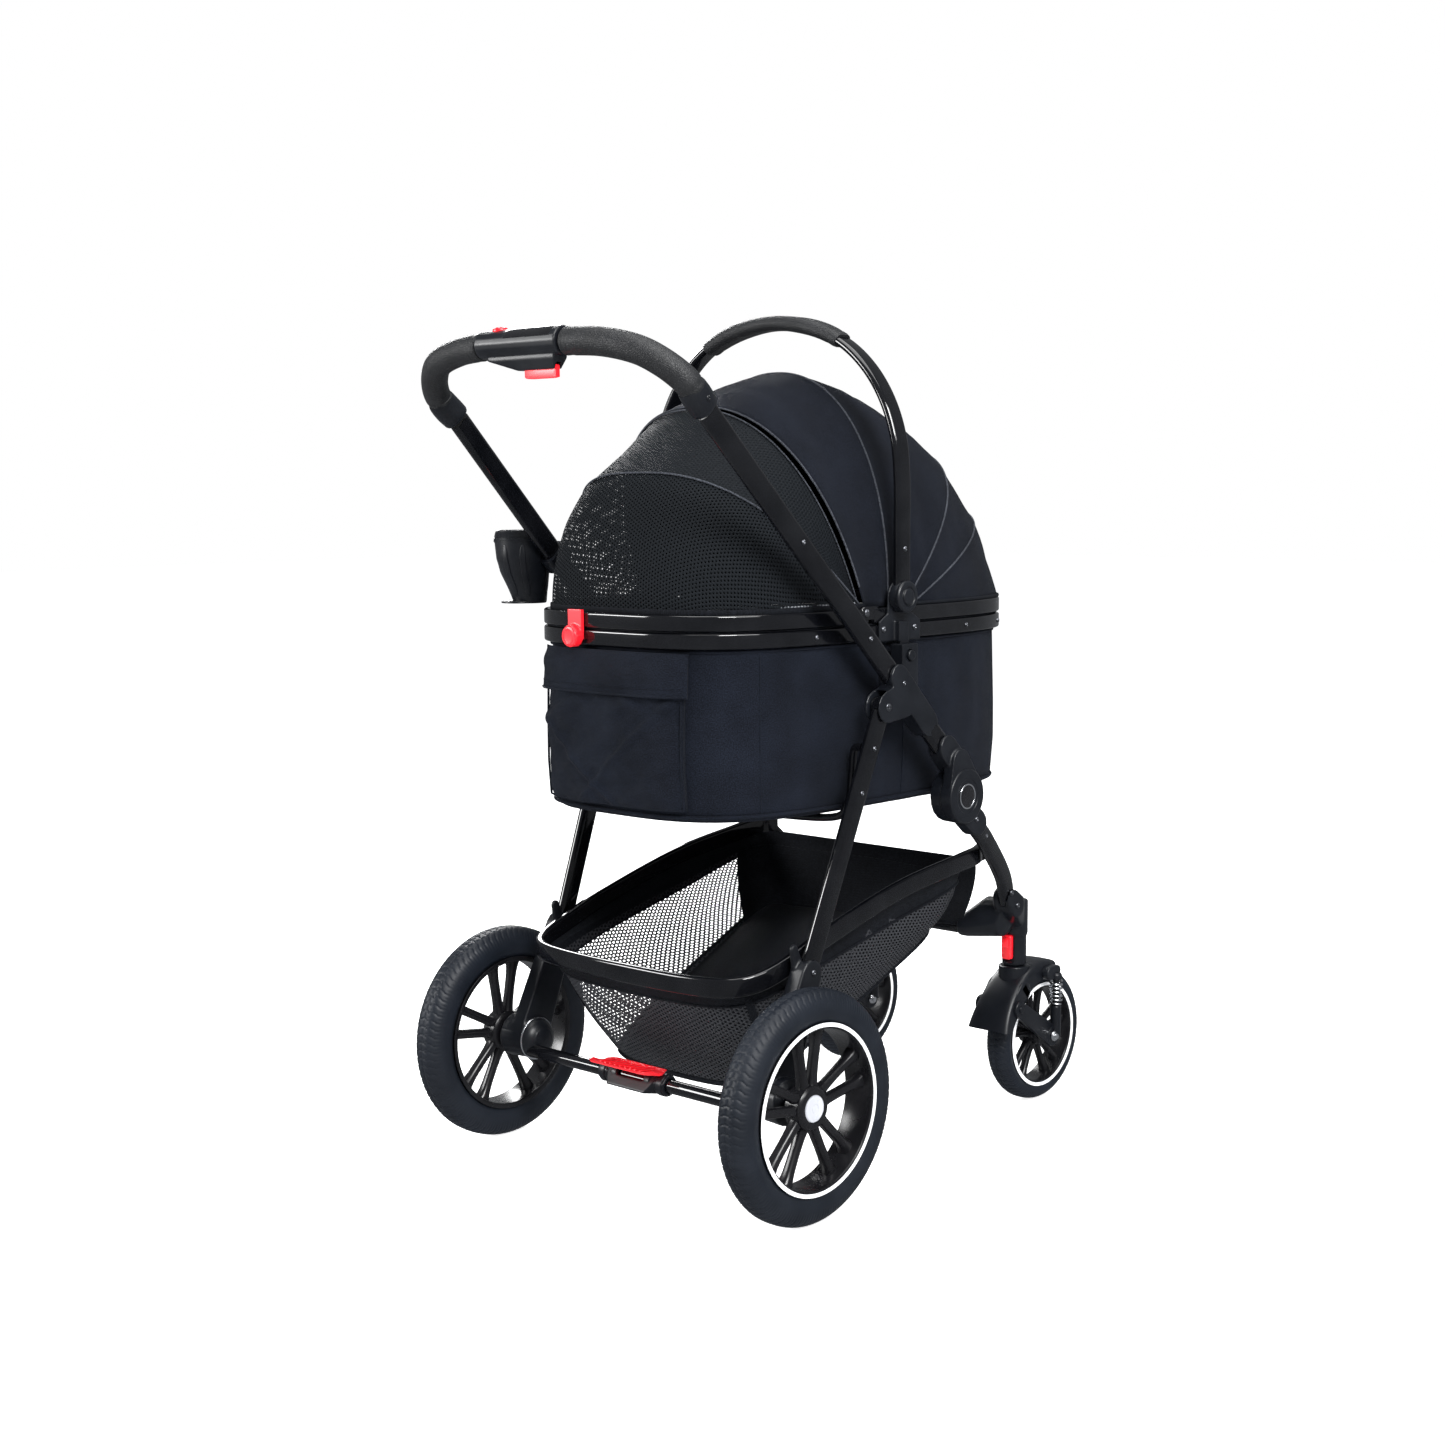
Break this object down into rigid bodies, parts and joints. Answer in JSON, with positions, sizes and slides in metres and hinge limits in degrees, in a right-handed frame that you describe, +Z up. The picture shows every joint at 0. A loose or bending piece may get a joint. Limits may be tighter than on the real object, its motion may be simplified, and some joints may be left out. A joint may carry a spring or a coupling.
{
  "type": "pet stroller",
  "caption": "Four-wheeled pet stroller with a hooped canopy carrier, carry arch, rear push handle, cup holder and mesh storage basket.",
  "frame": {"origin": "on the ground under the middle of the stroller's box", "axes": "+Z up; the pusher stands at +Y behind the rear wheels and looks along -Y, the way the stroller rolls; +X is the pusher's left"},
  "size_m": [0.6155, 0.9259, 1.115],
  "materials": {
    "frame_tube": "gloss black enamel",
    "rim_gloss": "polished black",
    "moulding": "fine satin texture, black",
    "grip": "pebbled black",
    "red_plastic": "satin red",
    "tyre": "dark grey with tread blocks",
    "wheel_rim": "semi-gloss black",
    "spring": "bright",
    "canopy_cloth": "fine woven blue-black",
    "canopy_mesh": "open hexagonal mesh, black",
    "basket_mesh": "open mesh, grey-black",
    "tub_cloth": "fine woven blue-black"
  },
  "bodies": {
    "front_frame": {"hinge_disc_left": "moulding", "hinge_disc_right": "moulding", "front_leg_left": "frame_tube", "front_leg_right": "frame_tube", "front_knuckle_left": "moulding", "front_knuckle_right": "moulding", "front_crossbar": "frame_tube"},
    "upper_frame": {"main_tube_left": "frame_tube", "main_tube_right": "frame_tube", "handle_tube": "frame_tube", "handle_grip_left": "grip", "handle_grip_right": "grip", "handle_console": "moulding", "tube_bracket_left": "moulding", "tube_bracket_right": "moulding", "hinge_socket_left": "moulding", "hinge_socket_right": "moulding", "cup_holder": "moulding"},
    "rear_frame": {"rear_leg_left": "frame_tube", "rear_leg_right": "frame_tube", "rear_hub_left": "moulding", "rear_hub_right": "moulding", "support_bar": "frame_tube", "axle_tube": "frame_tube", "brake_housing": "moulding"},
    "basket": {"basket_rail": "frame_tube", "basket_bag": "basket_mesh"},
    "rear_wheel_left": {"rear_tyre_left": "tyre", "rear_rim_left": "wheel_rim"},
    "rear_wheel_right": {"rear_tyre_right": "tyre", "rear_rim_right": "wheel_rim"},
    "caster_left": {"caster_fork_left": "moulding", "strut_spring_left": "spring"},
    "caster_right": {"caster_fork_right": "moulding", "strut_spring_right": "spring"},
    "arm_left": {"swing_arm_left": "moulding"},
    "arm_right": {"swing_arm_right": "moulding"},
    "front_wheel_left": {"front_tyre_left": "tyre", "front_rim_left": "wheel_rim"},
    "front_wheel_right": {"front_tyre_right": "tyre", "front_rim_right": "wheel_rim"},
    "lock_left": {"caster_lock_left": "red_plastic"},
    "lock_right": {"caster_lock_right": "red_plastic"},
    "pedal": {"brake_pedal": "red_plastic"},
    "lever": {"fold_lever": "red_plastic"},
    "slider": {"fold_slider": "red_plastic"},
    "button_left": {"release_button_left": "moulding"},
    "button_right": {"release_button_right": "moulding"},
    "carrier": {"lower_rim": "rim_gloss", "upper_rim_front": "rim_gloss", "tub": "tub_cloth", "floor_cushion": "tub_cloth", "rim_bracket_left": "moulding", "rim_bracket_right": "moulding", "canopy_front": "canopy_cloth"},
    "rear_door": {"upper_rim_rear": "rim_gloss", "canopy_rear": "canopy_mesh"},
    "carry_handle": {"carry_arch": "frame_tube", "arch_sleeve": "grip"},
    "latch": {"rim_latch": "red_plastic"}
  },
  "joints": [
    {"name": "frame_fold", "type": "hinge", "parent": "front_frame", "child": "upper_frame", "pos_m": [0, -0.079, 0.484], "axis": [1, 0, 0], "range_deg": [0, 22]},
    {"name": "rear_leg_fold", "type": "hinge", "parent": "upper_frame", "child": "rear_frame", "pos_m": [0, 0.069, 0.612], "axis": [1, 0, 0], "range_deg": [-12, 0]},
    {"name": "basket_fold", "type": "hinge", "parent": "rear_frame", "child": "basket", "pos_m": [0, 0.197, 0.29], "axis": [1, 0, 0], "range_deg": [-1, 0]},
    {"name": "carrier_lift", "type": "slide", "parent": "upper_frame", "child": "carrier", "axis": [0, 0, 1], "range_m": [0, 0.12]},
    {"name": "rear_door_swing", "type": "hinge", "parent": "carrier", "child": "rear_door", "pos_m": [0, 0.057, 0.728], "axis": [1, 0, 0], "range_deg": [0, 20]},
    {"name": "carry_handle_swing", "type": "hinge", "parent": "carrier", "child": "carry_handle", "pos_m": [0, -0.001, 0.747], "axis": [1, 0, 0], "range_deg": [0, 84]},
    {"name": "latch_turn", "type": "hinge", "parent": "carrier", "child": "latch", "pos_m": [0.048, 0.329, 0.704], "axis": [0, 1, 0], "range_deg": [0, 90]},
    {"name": "brake_pedal_press", "type": "hinge", "parent": "rear_frame", "child": "pedal", "pos_m": [0, 0.273, 0.132], "axis": [-1, 0, 0], "range_deg": [0, 20]},
    {"name": "fold_lever_squeeze", "type": "slide", "parent": "upper_frame", "child": "lever", "axis": [0, 0, 1], "range_m": [0, 0.008], "stiffness_N_per_m": 600, "springref_m": -0.001},
    {"name": "fold_slider_push", "type": "slide", "parent": "upper_frame", "child": "slider", "axis": [1, 0, 0], "range_m": [0, 0.008], "stiffness_N_per_m": 400, "springref_m": -0.001},
    {"name": "rear_spin_left", "type": "hinge", "parent": "rear_frame", "child": "rear_wheel_left", "pos_m": [0.277, 0.259, 0.145], "axis": [1, 0, 0], "continuous": true},
    {"name": "caster_swivel_left", "type": "hinge", "parent": "front_frame", "child": "caster_left", "pos_m": [0.169, -0.321, 0.204], "axis": [0, 0, 1], "continuous": true},
    {"name": "suspension_left", "type": "hinge", "parent": "caster_left", "child": "arm_left", "pos_m": [0.169, -0.288, 0.15], "axis": [-1, 0, 0], "range_deg": [0, 5], "stiffness_Nm_per_rad": 24, "springref_deg": -7.45, "deforming": ["strut_spring_left"]},
    {"name": "front_spin_left", "type": "hinge", "parent": "arm_left", "child": "front_wheel_left", "pos_m": [0.169, -0.369, 0.0965], "axis": [1, 0, 0], "continuous": true},
    {"name": "caster_lock_left", "type": "slide", "parent": "front_frame", "child": "lock_left", "axis": [0, 0, 1], "range_m": [-0.004, 0]},
    {"name": "release_button_left", "type": "slide", "parent": "upper_frame", "child": "button_left", "axis": [-1, 0, 0], "range_m": [0, 0.003], "stiffness_N_per_m": 800, "springref_m": -0.001},
    {"name": "rear_spin_right", "type": "hinge", "parent": "rear_frame", "child": "rear_wheel_right", "pos_m": [-0.277, 0.259, 0.145], "axis": [1, 0, 0], "continuous": true},
    {"name": "caster_swivel_right", "type": "hinge", "parent": "front_frame", "child": "caster_right", "pos_m": [-0.169, -0.321, 0.204], "axis": [0, 0, 1], "continuous": true},
    {"name": "suspension_right", "type": "hinge", "parent": "caster_right", "child": "arm_right", "pos_m": [-0.169, -0.288, 0.15], "axis": [-1, 0, 0], "range_deg": [0, 5], "stiffness_Nm_per_rad": 24, "springref_deg": -7.45, "deforming": ["strut_spring_right"]},
    {"name": "front_spin_right", "type": "hinge", "parent": "arm_right", "child": "front_wheel_right", "pos_m": [-0.169, -0.369, 0.0965], "axis": [1, 0, 0], "continuous": true},
    {"name": "caster_lock_right", "type": "slide", "parent": "front_frame", "child": "lock_right", "axis": [0, 0, 1], "range_m": [-0.004, 0]},
    {"name": "release_button_right", "type": "slide", "parent": "upper_frame", "child": "button_right", "axis": [1, 0, 0], "range_m": [0, 0.003], "stiffness_N_per_m": 800, "springref_m": -0.001}
  ],
  "couplings": [
    {"joint": "rear_leg_fold", "follows": "frame_fold", "ratio": -0.405},
    {"joint": "basket_fold", "follows": "frame_fold", "ratio": -0.012}
  ]
}
